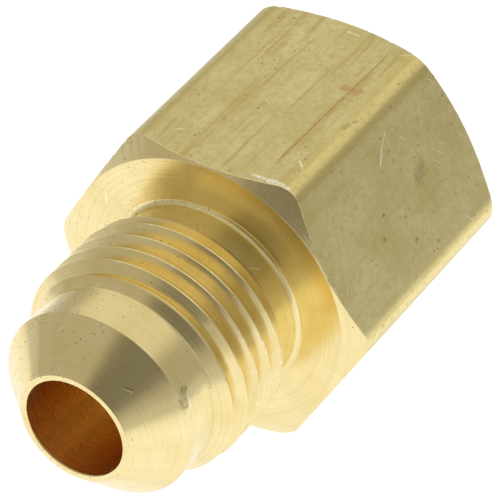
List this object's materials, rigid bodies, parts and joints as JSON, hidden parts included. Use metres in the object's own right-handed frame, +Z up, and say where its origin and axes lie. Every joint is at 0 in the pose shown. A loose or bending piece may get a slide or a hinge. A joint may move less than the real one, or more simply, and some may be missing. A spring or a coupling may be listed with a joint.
{
  "type": "flare fitting",
  "caption": "Brass connector with a male 45 degree flare nose and straight thread in front of a chamfered hexagon body with a female taper pipe thread.",
  "frame": {"origin": "bottom centre of the bounding box, on the surface that the lower hexagon flat rests on", "axes": "+X along the fitting's axis from the flare nose to the pipe end, +Z up, square to the upper hexagon flat, +Y across the hexagon's corners"},
  "size_m": [0.0338, 0.0232, 0.0206],
  "materials": {
    "brass_body": "drawn flats with turned ends, satin",
    "brass_thread": "freshly cut, bright"
  },
  "bodies": {
    "root": {"fitting_body": "brass_body", "flare_thread": "brass_thread", "pipe_thread": "brass_thread"}
  },
  "joints": []
}
